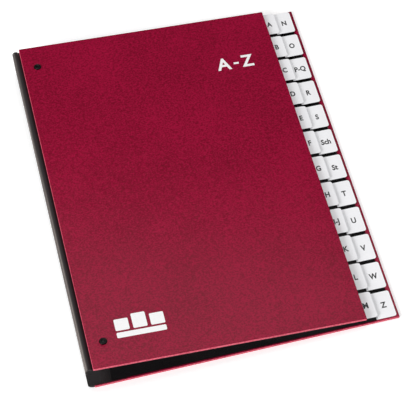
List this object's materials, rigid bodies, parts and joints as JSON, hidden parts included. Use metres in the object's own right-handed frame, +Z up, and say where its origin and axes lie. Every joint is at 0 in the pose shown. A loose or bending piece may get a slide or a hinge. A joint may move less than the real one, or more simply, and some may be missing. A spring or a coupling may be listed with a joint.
{
  "type": "desk sorter file",
  "caption": "Flat A to Z desk sorter file: hard bordeaux covers, black divider leaves hinged on a pleated cloth spine, white index tabs in two rows along the edge.",
  "frame": {"origin": "middle of the closed file on its resting face: under the middle of the back cover with its spine", "axes": "+X from the spine to the index tabs, +Y along the spine towards the first row of tabs (A and N), +Z up through the closed file"},
  "size_m": [0.257, 0.34, 0.0285],
  "materials": {
    "covering": "bordeaux embossed covering paper, fine grain, satin",
    "lining": "black lining paper, matte",
    "board": "grey bookbinding board",
    "spine_cloth": "black bookbinding cloth, fine weave",
    "card": "black card, matte",
    "tab": "white printed index tab, satin film",
    "rivet": "black enamelled steel"
  },
  "bodies": {
    "back_cover": {"back_board": "board", "back_wrap": "covering", "back_lining": "lining", "back_hinge_cloth": "spine_cloth", "back_rivet_upper": "rivet", "back_rivet_lower": "rivet"},
    "divider_a": {"leaf_a": "card", "tab_a": "tab"},
    "divider_b": {"leaf_b": "card", "tab_b": "tab"},
    "divider_c": {"leaf_c": "card", "tab_c": "tab"},
    "divider_d": {"leaf_d": "card", "tab_d": "tab"},
    "divider_e": {"leaf_e": "card", "tab_e": "tab"},
    "divider_f": {"leaf_f": "card", "tab_f": "tab"},
    "divider_g": {"leaf_g": "card", "tab_g": "tab"},
    "divider_h": {"leaf_h": "card", "tab_h": "tab"},
    "divider_i_j": {"leaf_i_j": "card", "tab_i_j": "tab"},
    "divider_k": {"leaf_k": "card", "tab_k": "tab"},
    "divider_l": {"leaf_l": "card", "tab_l": "tab"},
    "divider_m": {"leaf_m": "card", "tab_m": "tab"},
    "divider_n": {"leaf_n": "card", "tab_n": "tab"},
    "divider_o": {"leaf_o": "card", "tab_o": "tab"},
    "divider_p_q": {"leaf_p_q": "card", "tab_p_q": "tab"},
    "divider_r": {"leaf_r": "card", "tab_r": "tab"},
    "divider_s": {"leaf_s": "card", "tab_s": "tab"},
    "divider_sch": {"leaf_sch": "card", "tab_sch": "tab"},
    "divider_st": {"leaf_st": "card", "tab_st": "tab"},
    "divider_t": {"leaf_t": "card", "tab_t": "tab"},
    "divider_u": {"leaf_u": "card", "tab_u": "tab"},
    "divider_v": {"leaf_v": "card", "tab_v": "tab"},
    "divider_w": {"leaf_w": "card", "tab_w": "tab"},
    "divider_z": {"leaf_z": "card", "tab_z": "tab"},
    "front_cover": {"front_board": "board", "front_wrap": "covering", "front_lining": "lining", "front_hinge_cloth": "spine_cloth", "front_rivet_upper": "rivet", "front_rivet_lower": "rivet"}
  },
  "joints": [
    {"name": "fold_z", "type": "hinge", "parent": "back_cover", "child": "divider_z", "pos_m": [-0.12834, 0, 0.003], "axis": [0, 1, 0], "range_deg": [-7, 0]},
    {"name": "fold_w", "type": "hinge", "parent": "divider_z", "child": "divider_w", "pos_m": [-0.1285, 0, 0.00395], "axis": [0, 1, 0], "range_deg": [-7, 0]},
    {"name": "fold_v", "type": "hinge", "parent": "divider_w", "child": "divider_v", "pos_m": [-0.1285, 0, 0.0049], "axis": [0, 1, 0], "range_deg": [-7, 0]},
    {"name": "fold_u", "type": "hinge", "parent": "divider_v", "child": "divider_u", "pos_m": [-0.1285, 0, 0.00585], "axis": [0, 1, 0], "range_deg": [-7, 0]},
    {"name": "fold_t", "type": "hinge", "parent": "divider_u", "child": "divider_t", "pos_m": [-0.1285, 0, 0.0068], "axis": [0, 1, 0], "range_deg": [-7, 0]},
    {"name": "fold_st", "type": "hinge", "parent": "divider_t", "child": "divider_st", "pos_m": [-0.1285, 0, 0.00775], "axis": [0, 1, 0], "range_deg": [-7, 0]},
    {"name": "fold_sch", "type": "hinge", "parent": "divider_st", "child": "divider_sch", "pos_m": [-0.1285, 0, 0.0087], "axis": [0, 1, 0], "range_deg": [-7, 0]},
    {"name": "fold_s", "type": "hinge", "parent": "divider_sch", "child": "divider_s", "pos_m": [-0.1285, 0, 0.00965], "axis": [0, 1, 0], "range_deg": [-7, 0]},
    {"name": "fold_r", "type": "hinge", "parent": "divider_s", "child": "divider_r", "pos_m": [-0.1285, 0, 0.0106], "axis": [0, 1, 0], "range_deg": [-7, 0]},
    {"name": "fold_p_q", "type": "hinge", "parent": "divider_r", "child": "divider_p_q", "pos_m": [-0.1285, 0, 0.01155], "axis": [0, 1, 0], "range_deg": [-7, 0]},
    {"name": "fold_o", "type": "hinge", "parent": "divider_p_q", "child": "divider_o", "pos_m": [-0.1285, 0, 0.0125], "axis": [0, 1, 0], "range_deg": [-7, 0]},
    {"name": "fold_n", "type": "hinge", "parent": "divider_o", "child": "divider_n", "pos_m": [-0.1285, 0, 0.01345], "axis": [0, 1, 0], "range_deg": [-7, 0]},
    {"name": "fold_m", "type": "hinge", "parent": "divider_n", "child": "divider_m", "pos_m": [-0.1285, 0, 0.0144], "axis": [0, 1, 0], "range_deg": [-7, 0]},
    {"name": "fold_l", "type": "hinge", "parent": "divider_m", "child": "divider_l", "pos_m": [-0.1285, 0, 0.01535], "axis": [0, 1, 0], "range_deg": [-7, 0]},
    {"name": "fold_k", "type": "hinge", "parent": "divider_l", "child": "divider_k", "pos_m": [-0.1285, 0, 0.0163], "axis": [0, 1, 0], "range_deg": [-7, 0]},
    {"name": "fold_i_j", "type": "hinge", "parent": "divider_k", "child": "divider_i_j", "pos_m": [-0.1285, 0, 0.01725], "axis": [0, 1, 0], "range_deg": [-7, 0]},
    {"name": "fold_h", "type": "hinge", "parent": "divider_i_j", "child": "divider_h", "pos_m": [-0.1285, 0, 0.0182], "axis": [0, 1, 0], "range_deg": [-7, 0]},
    {"name": "fold_g", "type": "hinge", "parent": "divider_h", "child": "divider_g", "pos_m": [-0.1285, 0, 0.01915], "axis": [0, 1, 0], "range_deg": [-7, 0]},
    {"name": "fold_f", "type": "hinge", "parent": "divider_g", "child": "divider_f", "pos_m": [-0.1285, 0, 0.0201], "axis": [0, 1, 0], "range_deg": [-7, 0]},
    {"name": "fold_e", "type": "hinge", "parent": "divider_f", "child": "divider_e", "pos_m": [-0.1285, 0, 0.02105], "axis": [0, 1, 0], "range_deg": [-7, 0]},
    {"name": "fold_d", "type": "hinge", "parent": "divider_e", "child": "divider_d", "pos_m": [-0.1285, 0, 0.022], "axis": [0, 1, 0], "range_deg": [-7, 0]},
    {"name": "fold_c", "type": "hinge", "parent": "divider_d", "child": "divider_c", "pos_m": [-0.1285, 0, 0.02295], "axis": [0, 1, 0], "range_deg": [-7, 0]},
    {"name": "fold_b", "type": "hinge", "parent": "divider_c", "child": "divider_b", "pos_m": [-0.1285, 0, 0.0239], "axis": [0, 1, 0], "range_deg": [-7, 0]},
    {"name": "fold_a", "type": "hinge", "parent": "divider_b", "child": "divider_a", "pos_m": [-0.1285, 0, 0.02485], "axis": [0, 1, 0], "range_deg": [-7, 0]},
    {"name": "cover_open", "type": "hinge", "parent": "divider_a", "child": "front_cover", "pos_m": [-0.1285, 0, 0.0258], "axis": [0, -1, 0], "range_deg": [0, 185]}
  ]
}
